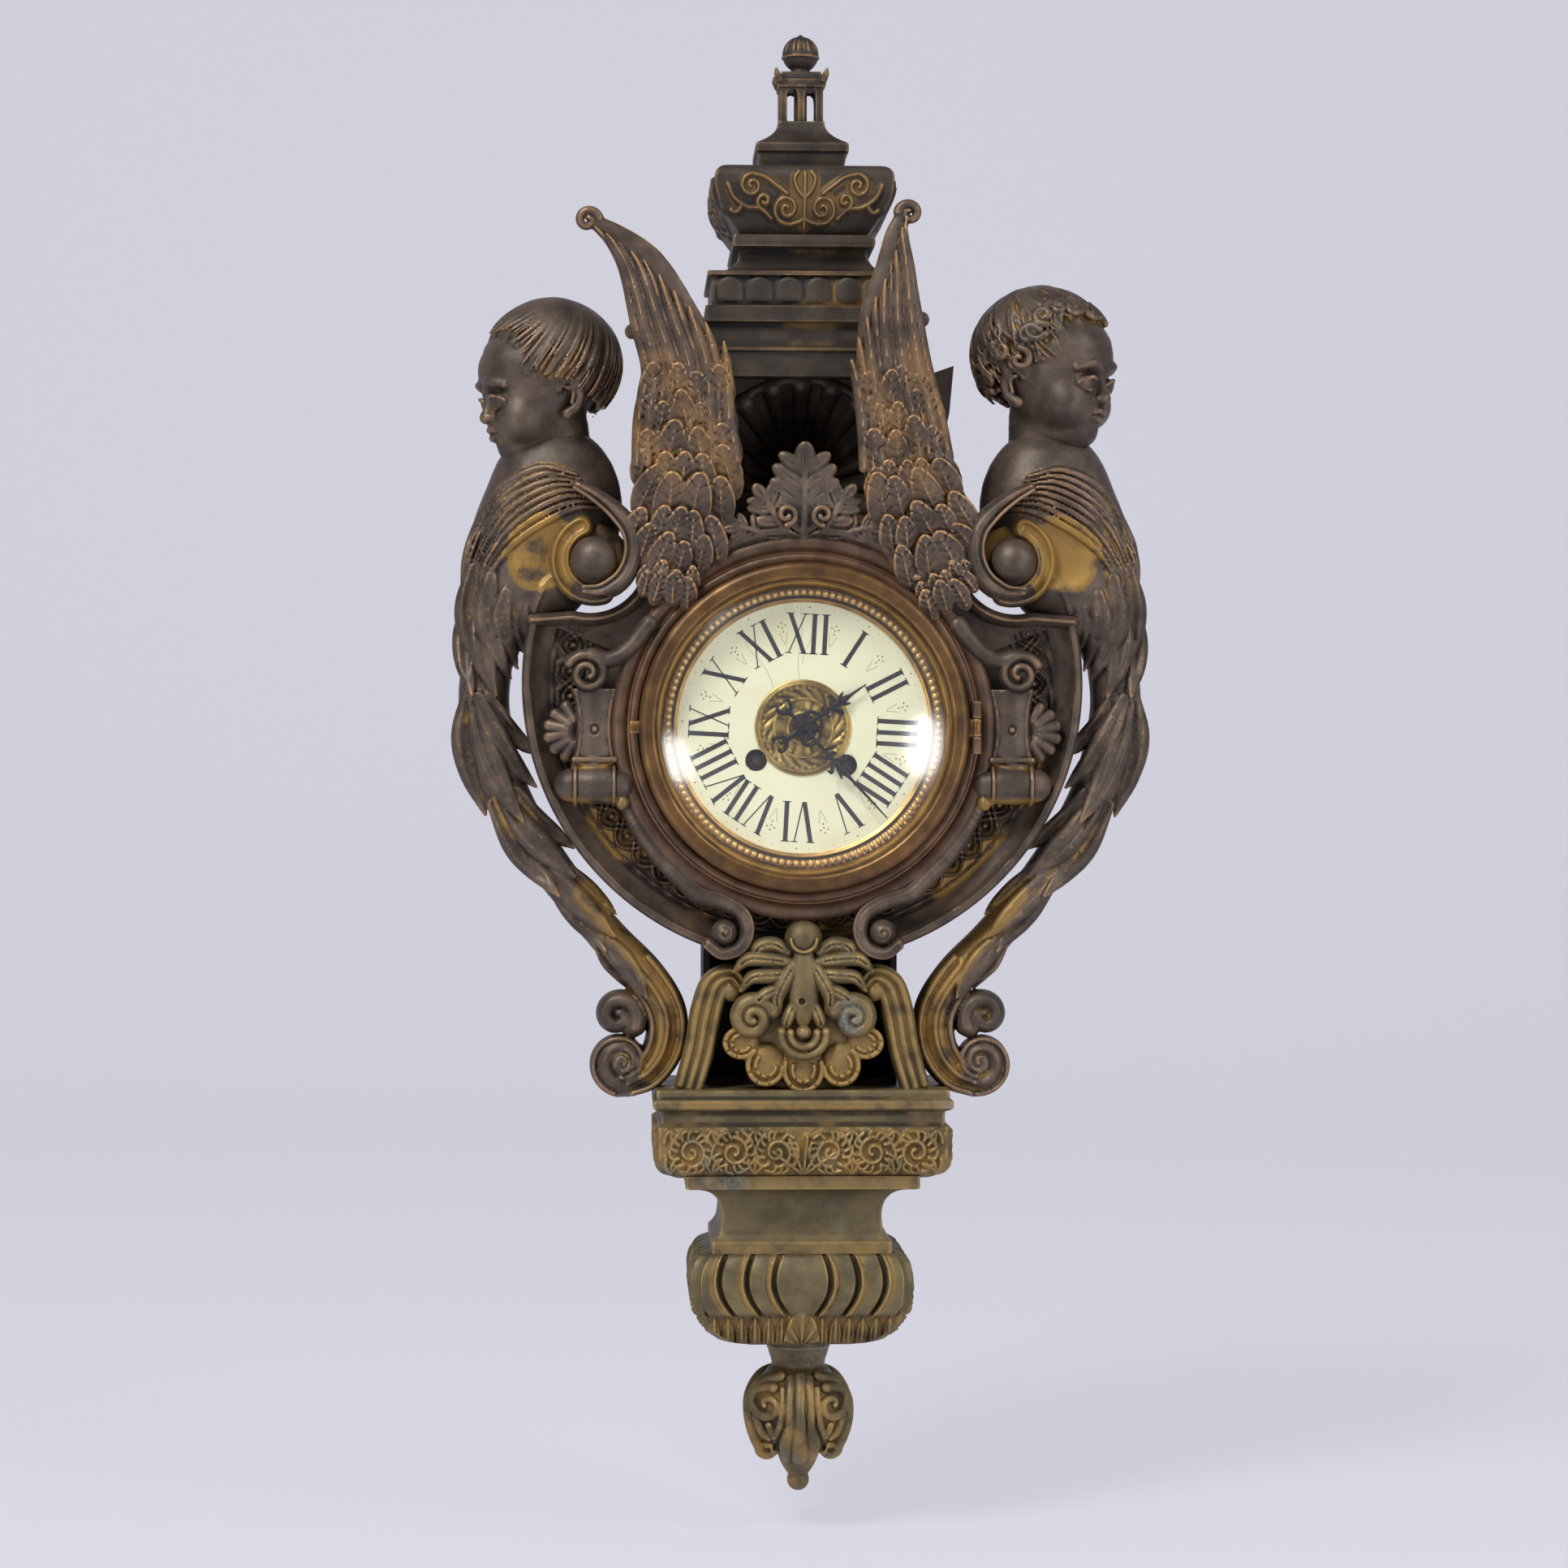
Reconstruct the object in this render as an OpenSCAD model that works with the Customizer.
// Cartel wall clock: a cast case with two winged cherub terms round a shield,
// a hinged glass door, an enamel dial and a round pendulum movement.
// The wall is the plane y = 0, the front looks towards -y, and z is up.
// The origin is the centre of the hanging hole, in the wall plane.

/* [Hanging] */
// Height of the hanging hole above the dial axis
hang_drop = 178; // [174:0.5:182]
// Radius of the hanging hole
hang_hole_r = 4; // [3:0.25:5]
// Thickness of the hanger plate
hanger_t = 2.5; // [2:0.25:3]

/* [Drum and shield] */
// Outer radius of the drum
drum_r = 96; // [94.5:0.5:97]
// Wall of the drum
drum_wall = 3; // [2:0.25:4]
// Thickness of the back plate
back_plate_t = 2.5; // [2:0.25:3]
// Distance from the wall to the back of the shield
shield_back = 58; // [56:0.5:60]
// Thickness of the shield
shield_t = 26; // [24:0.5:28]
// Radius of the shield's round edge
shield_r = 132; // [130:0.5:133]
// Height of the shield's centre above the dial axis
shield_rise = 21; // [20:0.5:22]
// Height of the shield's upper corners above the dial axis
shield_corner_z = 52; // [50:0.5:53]
// Width of the shield's raised rim
shield_rim = 4; // [3:0.25:6]
// Depth of the dish inside the rim
shield_dish = 9; // [7:0.5:11]
// Radius of the coves under the scrolls
cove_r = 27.5; // [26:0.5:28]

/* [Dial frame and door] */
// Width of the dial frame outside the bezel
frame_w = 13; // [12.5:0.25:13.5]
// How far the frame stands in front of the shield's dish
frame_t = 19; // [18:0.25:20]
// Thickness of the frame's dial flange
flange_t = 6; // [5:0.25:7]
// Width of the bezel outside the glass
bezel_w = 6; // [5.5:0.25:6.5]
// Thickness of the bezel from back to front
bezel_t = 11; // [10:0.25:12]
// Gap between the bezel and what it closes on
bezel_gap = 0.6; // [0.4:0.1:1]
// Radius of the glass at its edge
glass_r = 71; // [70.5:0.25:71.5]
// Thickness of the glass
glass_t = 2; // [1.5:0.25:2.5]
// Rise of the glass dome
glass_rise = 13; // [10:0.5:15]
// Radius of the hinge pins
hinge_pin_r = 1; // [0.8:0.1:1.2]

/* [Dial and hands] */
// How far the enamel dial reaches under the sight ring
dial_lap = 6.5; // [5.5:0.25:7.5]
// Thickness of the enamel dial
dial_t = 2; // [1.5:0.25:2.5]
// Width of the sight ring inside the edge of the glass
sight_w = 11.5; // [11:0.25:13]
// Radius of the brass dial centre
centre_r = 22.7; // [21:0.25:24]
// Thickness of the brass dial centre
centre_t = 1.2; // [1:0.1:1.5]
// How far the dial and movement sit turned clockwise
dial_turn = 3.1; // [0:0.1:5]
// Length of the hour hand from its axis
hour_hand_l = 36; // [32:0.5:40]
// Length of the minute hand from its axis
minute_hand_l = 58; // [52:0.5:58.5]
// Clockwise angle of the hour hand from twelve
hour_hand_a = 52; // [0:1:359]
// Clockwise angle of the minute hand from twelve
minute_hand_a = 134; // [0:1:359]

/* [Movement] */
// Radius of the movement plates
plate_r = 48; // [47.5:0.25:50]
// Thickness of the movement plates
plate_t = 2; // [1.5:0.25:2.5]
// Distance from the wall to the rear movement plate
plate_back = 34; // [33.5:0.25:34.5]
// Distance between the two movement plates
plate_gap = 34; // [33.5:0.25:34.5]
// Sideways distance of the winding arbors from the dial axis
wind_x = 21.1; // [20.8:0.1:21.4]
// Drop of the winding arbors below the dial axis
wind_drop = 16.3; // [16:0.1:16.6]
// Radius of the winding holes in the dial
wind_hole_r = 4.7; // [4.2:0.1:5.2]
// Running clearance round every arbor
run = 0.05; // [0.03:0.01:0.08]
// Length of the pendulum from its suspension to the middle of the bob
pendulum_l = 112; // [100:1:116]
// Radius of the pendulum bob
bob_r = 13; // [10:0.5:15]
// Radius of the bell
bell_r = 33; // [30:0.5:34]

/* [Top] */
// Half width of the cushion cap
cap_w = 42; // [39:0.5:44]
// Height of the cushion cap
cap_h = 32; // [30:0.5:34]
// Depth of the cushion cap from the wall
cap_d = 92; // [88:0.5:93]
// Height of the cap's foot above the dial axis
cap_z = 231; // [230:0.5:233]
// Height of the column's foot above the dial axis
column_z = 165; // [164:0.5:166]
// Half width of the column's foot
column_w = 52; // [50:0.5:54]
// Height of the finial's stand
stand_h = 50; // [46:0.5:54]
// Radius of the finial's bud
bud_r = 9; // [8:0.25:10]

/* [Base] */
// Height of the plinth's top above the dial axis, which is below it
plinth_z = -169; // [-171:0.5:-168]
// Height of the plinth with its frieze
plinth_h = 40; // [38:0.5:42]
// Half width of the plinth
plinth_w = 70; // [68:0.5:72]
// Depth of the plinth from the wall
plinth_d = 97; // [96:0.5:98]
// Height of the hollow neck
neck_h = 36; // [34:0.5:38]
// Half width of the neck at its waist
waist_w = 38.7; // [37:0.25:42]
// Height of the gadrooned block
gadroon_h = 46; // [44:0.5:48]
// Half width of the gadrooned block
gadroon_w = 52.6; // [50:0.2:55]
// Depth of the gadrooned block from the wall
gadroon_d = 90; // [86:0.5:92]
// Radius of the pendant's ball
pendant_r = 26; // [24:0.5:28]
// Radius of the tie rods
rod_r = 3; // [2.5:0.25:3.5]

/* [Figures] */
// Sideways distance of the heads from the dial axis
head_x = 118; // [117:0.25:119]
// Height of the necks above the dial axis
neck_z = 134; // [133:0.25:135]
// Distance of the figures' middle from the wall
figure_y = 60; // [58:0.5:62]
// Height of a head above its neck
head_h = 72; // [68:0.5:76]
// Height of the scroll eyes above the dial axis
volute_z = 81; // [80:0.25:82]
// Sideways distance of the scroll eyes from the dial axis
volute_x = 100; // [99:0.25:101]
// Outer radius of the scrolls under the wings
volute_r = 20; // [19:0.25:21]
// Radius of the scroll eyes
eye_r = 11.5; // [10:0.25:12]

/* [Hidden] */
$fn = 64;
// Seam left between castings that stand side by side
seam = 0.3;
// Small overlap that lets a cutter pass right through
cut = 1;
// Slope of a moulding's ledges, which keeps every level apart
ease = 0.4;

// Radii round the dial axis, each worked out from the glass
bezel_r = glass_r + bezel_w;
frame_r = bezel_r + frame_w;
sight_r = glass_r - sight_w;
dial_r = sight_r + dial_lap;

// Depths from the wall, each worked out from the one behind it
dish_y = shield_back + shield_t - shield_dish;
shield_front = shield_back + shield_t;
dial_y = dish_y + flange_t;
frame_front = dish_y + frame_t;
sight_back = dial_y + dial_t;
sight_front = sight_back + 7;
bezel_back = sight_front + bezel_gap;
bezel_front = bezel_back + bezel_t;
bezel_ledge = 4;
glass_seat = bezel_back + bezel_ledge;
rear_plate_y = plate_back + plate_t;
front_plate_y = rear_plate_y + plate_gap;
motion_y = front_plate_y + plate_t;
hour_hand_y = sight_back + centre_t + 1.6;
minute_hand_y = hour_hand_y + 2.6;
hand_t = 0.8;

// Heights above and below the dial axis
cap_top = cap_z + cap_h;
tray_h = 14;
neck_top = plinth_z - plinth_h;
gadroon_top = neck_top - neck_h;
pendant_top = gadroon_top - gadroon_h;
rod_y = 45;

// Curves, outlines and sculpted forms
function lerp(a, b, t) = a + (b - a) * t;
function polar(r, a) = [r * cos(a), r * sin(a)];
function arc(c, r, from, to, n) =
    [for (i = [0:n]) let (a = lerp(from, to, i / n)) [c[0] + r * cos(a), c[1] + r * sin(a)]];
function catmull(a, b, c, d, t) =
    0.5 * (2 * b + (c - a) * t + (2 * a - 5 * b + 4 * c - d) * t * t + (3 * b - a - 3 * c + d) * t * t * t);
function smooth(p, n) = let (last = len(p) - 1)
    [for (i = [0:last - 1], k = [0:n - 1])
        catmull(p[max(i - 1, 0)], p[i], p[i + 1], p[min(i + 2, last)], k / n), p[last]];
function spiral(c, y, r_from, r_to, a_from, a_to, half_w, half_d, n) =
    [for (i = [0:n]) let (t = i / n, r = lerp(r_from, r_to, t), a = lerp(a_from, a_to, t))
        [c[0] + r * cos(a), y, c[1] + r * sin(a), lerp(half_w[0], half_w[1], t), half_d]];
function oval(s, heading, n) =
    [for (j = [0:n - 1]) let (u = 360 * j / n)
        [s[0] - sin(heading) * s[3] * cos(u), s[1] - s[4] * sin(u), s[2] + cos(heading) * s[3] * cos(u)]];

// A right half outline, from top to bottom or back, joined to its mirror image
function mirrored(half) = concat(half, [for (i = [len(half) - 1:-1:0]) [-half[i][0], half[i][1]]]);

// One closed skin over rings that all have the same count of points
module skin(rings) {
    n = len(rings[0]);
    last = len(rings) - 1;
    sides = [for (i = [0:last - 1], j = [0:n - 1])
        let (a = i * n + j, b = i * n + (j + 1) % n) each [[a, a + n, b + n], [a, b + n, b]]];
    ends = [[for (j = [0:n - 1]) j], [for (j = [0:n - 1]) last * n + n - 1 - j]];
    polyhedron([for (r = rings) each r], concat(sides, ends), convexity = 6);
}

// A limb along stations [x, y, z, half width, half depth] that lie near one upright plane
module limb(stations, sides = 12, per = 3) {
    s = per > 1 ? smooth(stations, per) : stations;
    last = len(s) - 1;
    skin([for (i = [0:last])
        let (a = s[max(i - 1, 0)], b = s[min(i + 1, last)])
        oval(s[i], atan2(b[2] - a[2], b[0] - a[0]), sides)]);
}

// A stack of level ovals [x, y, z, half width, half depth]
module stack(levels, sides = 16) {
    skin([for (s = levels) [for (j = [0:sides - 1]) let (u = 360 * j / sides)
        [s[0] + s[3] * cos(u), s[1] + s[4] * sin(u), s[2]]]]);
}

// A block that stands against the wall, from levels [half width, depth, z]
module wall_block(levels) {
    skin([for (s = levels)
        [[-s[0], -s[1], s[2]], [s[0], -s[1], s[2]], [s[0], 0, s[2]], [-s[0], 0, s[2]]]]);
}

// Places everything that is measured from the dial axis
module at_dial() translate([0, 0, -hang_drop]) children();
// Turns the dial and movement as they sit in the case
module at_movement() at_dial() rotate([0, dial_turn, 0]) children();
// An elevation drawn flat, whose back lies at the given depth from the wall
module elevation(back, thick) {
    translate([0, -back, 0]) rotate([90, 0, 0]) linear_extrude(thick) children();
}
// A turned ring whose profile is [radius, distance in front of the given depth]
module turned(back) translate([0, -back, 0]) rotate([90, 0, 0]) rotate_extrude() children();
// A round bar from the wall towards the front
module bar(at, r, back, front) {
    translate([at[0], -back, at[1]]) rotate([90, 0, 0]) cylinder(r = r, h = front - back);
}
// Joins overlapping sculpted forms into one cast skin
module casting() resize([0, 0, 0]) children();

bronze = "#5a4a3e";
gilt = "#a8813c";
brass = "#b8953f";
steel = "#56585c";

// Hanger and back plate
hanger_w = 46;
hanger_h = 20;
hanger_screw_x = 43;
boss_at = [for (a = [35, 145, 215, 325]) (drum_r - drum_wall - 4.5) * [cos(a), sin(a)]];
screw_r = 1.5;
screw_head_r = 3;
screw_head_t = 1.5;
screw_l = 12;
boss_r = 6;
boss_l = 15;

module hanger() {
    color(steel) difference() {
        translate([-hanger_w, -hanger_t, -hanger_h / 2]) cube([2 * hanger_w, hanger_t, hanger_h]);
        bar([0, 0], hang_hole_r, -cut, hanger_t + cut);
        for (s = [-1, 1]) {
            bar([s * hanger_screw_x, 0], screw_r + run, -cut, hanger_t + cut);
            bar([s * hanger_screw_x, 0], screw_head_r - 0.4, -cut, screw_head_t);
        }
    }
}

rear_open_r = 55;
rear_door_r = 58;
rear_hinge_x = 61.5;
rear_knuckle_r = 1.9;
rear_hinge_y = hanger_t - 0.6;
rear_knuckle_l = 15.6;

module back_plate() {
    color(steel) at_dial() difference() {
        union() {
            bar([0, 0], drum_r - drum_wall, hanger_t, hanger_t + back_plate_t);
            for (z = [-rear_knuckle_l / 2 - 4.4, rear_knuckle_l / 2 + 0.4]) rear_knuckle(z, 4);
        }
        bar([0, 0], rear_open_r, 0, hanger_t + back_plate_t + cut);
        for (p = boss_at) bar(p, screw_r + run, 0, hanger_t + back_plate_t + cut);
        translate([rear_hinge_x, -rear_hinge_y, -14]) cylinder(r = hinge_pin_r, h = 28);
        translate([rear_hinge_x, -rear_hinge_y, -rear_knuckle_l / 2 - 0.4])
            cylinder(r = rear_knuckle_r + 0.4, h = rear_knuckle_l + 0.8);
    }
}

module rear_knuckle(z, length) {
    translate([rear_hinge_x, -rear_hinge_y, z]) cylinder(r = rear_knuckle_r, h = length);
}

module rear_door() {
    door_t = 1.2;
    color(brass) at_dial() difference() {
        union() {
            bar([0, 0], rear_door_r, hanger_t - door_t - 0.1, hanger_t - 0.1);
            rear_knuckle(-rear_knuckle_l / 2, rear_knuckle_l);
            translate([rear_door_r - 4, -hanger_t + 0.1, -rear_knuckle_l / 2])
                cube([rear_hinge_x - rear_door_r + 4, door_t, rear_knuckle_l]);
        }
        translate([rear_hinge_x, -rear_hinge_y, -14]) cylinder(r = hinge_pin_r + run, h = 28);
        for (a = [0:30:330]) bar([36 * cos(a), 36 * sin(a)], 2.5, 0, hanger_t + cut);
    }
}

// Drum and shield
module drum() {
    color(bronze) at_dial() difference() {
        union() {
            difference() {
                bar([0, 0], drum_r, 0, shield_back);
                bar([0, 0], drum_r - drum_wall, -cut, shield_back + cut);
            }
            intersection() {
                for (p = boss_at) bar(p, boss_r, hanger_t + back_plate_t, hanger_t + back_plate_t + boss_l);
                bar([0, 0], drum_r - drum_wall / 2, 0, shield_back);
            }
        }
        for (p = boss_at) bar(p, screw_r, hanger_t, hanger_t + back_plate_t + boss_l + cut);
    }
}

shield_top = volute_z - 1.5;

module shield_outline(inset) {
    r = shield_r - inset;
    difference() {
        intersection() {
            translate([0, shield_rise]) circle(r);
            union() {
                translate([-r, -r]) square([2 * r, r + shield_corner_z - inset]);
                translate([-volute_x, -r]) square([2 * volute_x, r + shield_top - min(inset, 0)]);
            }
        }
        for (s = [-1, 1]) translate([s * volute_x, shield_top]) circle(cove_r + inset);
    }
}

// What castings that hug the shield leave free for it
module shield_clearance(back) {
    elevation(back, shield_front + 30 - back) shield_outline(-seam);
}

module shield() {
    color(bronze) at_dial() difference() {
        elevation(shield_back, shield_t) shield_outline(0);
        elevation(dish_y, shield_dish + cut) shield_outline(shield_rim);
        bar([0, 0], frame_r - 10, shield_back - cut, shield_front + cut);
        bar([0, 0], frame_r + seam, dish_y, shield_front + cut);
    }
}

// Dial frame with its half of the hinge
hinge_x = bezel_r + 3.4;
hinge_y = frame_front + 3.4;
knuckle_r = 2.2;
knuckle_l = 8;

module hinge_knuckle(z, length) translate([hinge_x, -hinge_y, z]) cylinder(r = knuckle_r, h = length);

module dial_frame() {
    color(bronze) at_dial() difference() {
        union() {
            turned(dish_y) polygon(concat(
                [[sight_r + 1.5, 0], [frame_r, 0], [frame_r, frame_t - 9]],
                arc([frame_r - 4, frame_t - 7], 4, -20, 90, 8),
                [[bezel_r + 4.5, frame_t - 3], [bezel_r + bezel_gap, frame_t - 3],
                    [bezel_r + bezel_gap, flange_t], [sight_r + 1.5, flange_t]]));
            for (z = [-knuckle_l * 1.5 - seam, knuckle_l / 2 + seam]) {
                hinge_knuckle(z, knuckle_l);
                translate([hinge_x - 1, -hinge_y, z]) cube([3, hinge_y - frame_front + 4, knuckle_l]);
            }
        }
        translate([hinge_x, -hinge_y, -2 * knuckle_l]) cylinder(r = hinge_pin_r, h = 4 * knuckle_l);
    }
}

module bezel() {
    groove_front = bezel_ledge + glass_t + 0.4;
    catch_w = 6;
    color(gilt) at_dial() difference() {
        union() {
            turned(bezel_back) polygon(concat(
                [[glass_r - 3, 0], [bezel_r, 0], [bezel_r, bezel_t - 4]],
                arc([bezel_r - 3.5, bezel_t - 3.5], 3.5, 0, 90, 8),
                [[glass_r - 1.5, bezel_t], [glass_r - 1.5, groove_front], [glass_r + 0.2, groove_front],
                    [glass_r + 0.2, bezel_ledge], [glass_r - 3, bezel_ledge]]));
            hinge_knuckle(-knuckle_l / 2, knuckle_l);
            translate([bezel_r - 3, -hinge_y - 1, -knuckle_l / 2])
                cube([hinge_x - bezel_r + 3, 2, knuckle_l]);
            translate([-bezel_r - 4.5, -bezel_front + 2.5, -catch_w / 2]) cube([7, 2.5, catch_w]);
        }
        translate([hinge_x, -hinge_y, -knuckle_l]) cylinder(r = hinge_pin_r + run, h = 2 * knuckle_l);
    }
}

module hinge_pins() {
    color(steel) at_dial() {
        translate([hinge_x, -hinge_y, -knuckle_l * 1.5]) cylinder(r = hinge_pin_r, h = 3 * knuckle_l);
        translate([rear_hinge_x, -rear_hinge_y, -12]) cylinder(r = hinge_pin_r, h = 24);
    }
}

module dial_glass() {
    lens_r = glass_r - 2;
    ball_r = (lens_r * lens_r + glass_rise * glass_rise) / (2 * glass_rise);
    half_a = asin(lens_r / ball_r);
    apex = glass_rise - ball_r + glass_t;
    color("#cfd8da", 0.35) at_dial() turned(glass_seat + 0.1) polygon(concat(
        arc([0, apex], ball_r - glass_t, 90, 90 - half_a, 12),
        [[lens_r, 0], [glass_r, 0], [glass_r, glass_t]],
        arc([0, apex], ball_r, 90 - half_a, 90, 12)));
}

module sight_ring() {
    color(gilt) at_dial() turned(sight_back) polygon(concat(
        [[sight_r, 0], [glass_r - 2.5, 0], [glass_r - 2.5, sight_front - sight_back]],
        arc([glass_r - 5, sight_front - sight_back - 2.5], 2.5, 90, 160, 6),
        [[sight_r + 1, 1.2], [sight_r, 1]]));
}

// Dial
foot_at = [polar(41, 20), polar(41, 160), polar(33, 270)];
foot_r = 1.4;
dial_bore = 5.2;

// Holes for the hands' pipes and for the key
module dial_holes(back, front) {
    bar([0, 0], dial_bore, back - cut, front + cut);
    for (s = [-1, 1]) bar([s * wind_x, -wind_drop], wind_hole_r, back - cut, front + cut);
}

module dial_plate() {
    color("#e9e7c8") at_movement() difference() {
        union() {
            bar([0, 0], dial_r, dial_y, sight_back);
            for (p = foot_at) bar(p, foot_r, front_plate_y, dial_y);
        }
        dial_holes(dial_y, sight_back);
    }
}

module dial_centre() {
    color(brass) at_movement() difference() {
        bar([0, 0], centre_r, sight_back, sight_back + centre_t);
        dial_holes(sight_back, sight_back + centre_t);
    }
}

// Gears: teeth are short and slim, so that they run with backlash
function gear_r(teeth, m) = teeth * m / 2;
module gear_outline(teeth, m, phase) {
    r = gear_r(teeth, m);
    step = 360 / teeth;
    polygon([for (i = [0:teeth - 1], k = [[-0.30, -1.0], [-0.13, 0.62], [0.13, 0.62], [0.30, -1.0]])
        let (a = phase + (i + k[0]) * step) [(r + k[1] * m) * cos(a), (r + k[1] * m) * sin(a)]]);
}
// Phase that sets a follower's teeth in the gaps of the gear that drives it
function mesh_phase(teeth, drive_teeth, drive_phase, dir) =
    dir + 180 + 360 / teeth * (0.5 - (drive_phase - dir) * drive_teeth / 360);

module wheel(teeth, m, phase, at, back, thick, hub_r, bore_r) {
    r = gear_r(teeth, m);
    translate([at[0], 0, at[1]]) elevation(back, thick) difference() {
        gear_outline(teeth, m, phase);
        circle(bore_r);
        if (r > 9) difference() {
            circle(r - 3.2);
            circle(hub_r);
            for (a = [0, 45, 90, 135]) rotate(a) square([2 * r, 2.4], center = true);
        }
    }
}

m_train = 0.6;
m_motion = 0.5;
arbor_r = 1.2;
hub_r = 3.4;

// Going train: barrel, second wheel, centre wheel, third wheel, escape wheel
barrel_teeth = 64;
second_pinion = 10;
second_teeth = 60;
centre_pinion = 10;
centre_teeth = 60;
third_pinion = 10;
third_teeth = 60;
escape_pinion = 10;
going_at = [wind_x, -wind_drop];
strike_at = [-wind_x, -wind_drop];
barrel_reach = gear_r(barrel_teeth, m_train) + gear_r(second_pinion, m_train);
centre_reach = gear_r(second_teeth, m_train) + gear_r(centre_pinion, m_train);
going_reach = norm(going_at);
going_dir = atan2(going_at[1], going_at[0]);
second_dir = going_dir + acos((going_reach * going_reach + centre_reach * centre_reach
    - barrel_reach * barrel_reach) / (2 * going_reach * centre_reach));
second_at = polar(centre_reach, second_dir);
third_reach = gear_r(centre_teeth, m_train) + gear_r(third_pinion, m_train);
third_dir = 122;
third_at = polar(third_reach, third_dir);
escape_reach = gear_r(third_teeth, m_train) + gear_r(escape_pinion, m_train);
escape_at = [0, third_at[1] + sqrt(escape_reach * escape_reach - third_at[0] * third_at[0])];
escape_r = 6.5;
anchor_at = [0, escape_at[1] + 9.6];
barrel_to_second = atan2(second_at[1] - going_at[1], second_at[0] - going_at[0]);
third_to_escape = atan2(escape_at[1] - third_at[1], escape_at[0] - third_at[0]);
barrel_phase = 0;
second_pinion_phase = mesh_phase(second_pinion, barrel_teeth, barrel_phase, barrel_to_second);
second_phase = 0;
centre_pinion_phase = mesh_phase(centre_pinion, second_teeth, second_phase, second_dir + 180);
centre_phase = 0;
third_pinion_phase = mesh_phase(third_pinion, centre_teeth, centre_phase, third_dir);
third_phase = 0;
escape_pinion_phase = mesh_phase(escape_pinion, third_teeth, third_phase, third_to_escape);

// Levels of the wheels between the plates
barrel_front = front_plate_y - 4;
barrel_l = 17;
great_t = 2.4;
great_y = barrel_front - barrel_l - great_t;
second_y = great_y - 3.4;
centre_wheel_y = front_plate_y - 2.6;
third_wheel_y = centre_wheel_y - 7;
escape_wheel_y = third_wheel_y - 5;
wheel_t = 1.4;
pinion_t = wheel_t + 1;
pinion_lap = 0.4;

module barrel(at, phase) {
    wall = 1.2;
    rim = 2.8;
    barrel_r = gear_r(barrel_teeth, m_train) - rim;
    difference() {
        union() {
            translate([at[0], 0, at[1]]) elevation(great_y, great_t)
                gear_outline(barrel_teeth, m_train, phase);
            bar(at, barrel_r, great_y + great_t, barrel_front);
        }
        bar(at, barrel_r - wall, great_y + great_t, barrel_front - wall);
        bar(at, arbor_r * 2 + run, great_y - cut, barrel_front + cut);
    }
}

// Winding arbor: runs in both plates and ends in a square just behind the dial
module winding_arbor(at) {
    square_side = 3.2;
    square_l = 4;
    square_y = dial_y - square_l - 0.5;
    hook_r = 6;
    bar(at, arbor_r * 2, plate_back, square_y);
    translate([at[0], 0, at[1]]) elevation(square_y, square_l) square(square_side, center = true);
    bar(at, hook_r, great_y + great_t + 2, barrel_front - 3);
}

module going_barrel() color(brass) at_movement() barrel(going_at, barrel_phase);
module strike_barrel() color(brass) at_movement() barrel(strike_at, barrel_phase);
module going_arbor() color(steel) at_movement() winding_arbor(going_at);
module strike_arbor() color(steel) at_movement() winding_arbor(strike_at);

module arbor(at, front) bar(at, arbor_r, plate_back, front);

module second_wheel() {
    color(brass) at_movement() {
        arbor(second_at, motion_y);
        wheel(second_teeth, m_train, second_phase, second_at, second_y, wheel_t, hub_r, arbor_r);
        wheel(second_pinion, m_train, second_pinion_phase, second_at,
            second_y + wheel_t, great_y + great_t - second_y - wheel_t, hub_r, arbor_r);
    }
}

module centre_wheel() {
    color(brass) at_movement() {
        arbor([0, 0], minute_hand_y - 1);
        wheel(centre_pinion, m_train, centre_pinion_phase, [0, 0],
            second_y - pinion_lap, pinion_t, hub_r, arbor_r);
        wheel(centre_teeth, m_train, centre_phase, [0, 0], centre_wheel_y, wheel_t, hub_r, arbor_r);
    }
}

module third_wheel() {
    color(brass) at_movement() {
        arbor(third_at, motion_y);
        wheel(third_pinion, m_train, third_pinion_phase, third_at,
            centre_wheel_y - pinion_lap, pinion_t, hub_r, arbor_r);
        wheel(third_teeth, m_train, third_phase, third_at, third_wheel_y, wheel_t, hub_r, arbor_r);
    }
}

module escape_wheel() {
    teeth = 24;
    tooth = 1.6;
    color(brass) at_movement() {
        arbor(escape_at, motion_y);
        wheel(escape_pinion, m_train, escape_pinion_phase, escape_at,
            third_wheel_y - pinion_lap, pinion_t, hub_r, arbor_r);
        translate([escape_at[0], 0, escape_at[1]]) elevation(escape_wheel_y, wheel_t) difference() {
            polygon([for (i = [0:teeth - 1], k = [[0, 0], [0.35, tooth], [0.9, tooth]])
                polar(escape_r - k[1], (i + k[0]) * 360 / teeth)]);
            circle(arbor_r);
        }
    }
}

// Anchor that rocks over the escape wheel, with its crutch behind the rear plate
crutch_y = plate_back - 4;
pallet_gap = 0.9;

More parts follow.
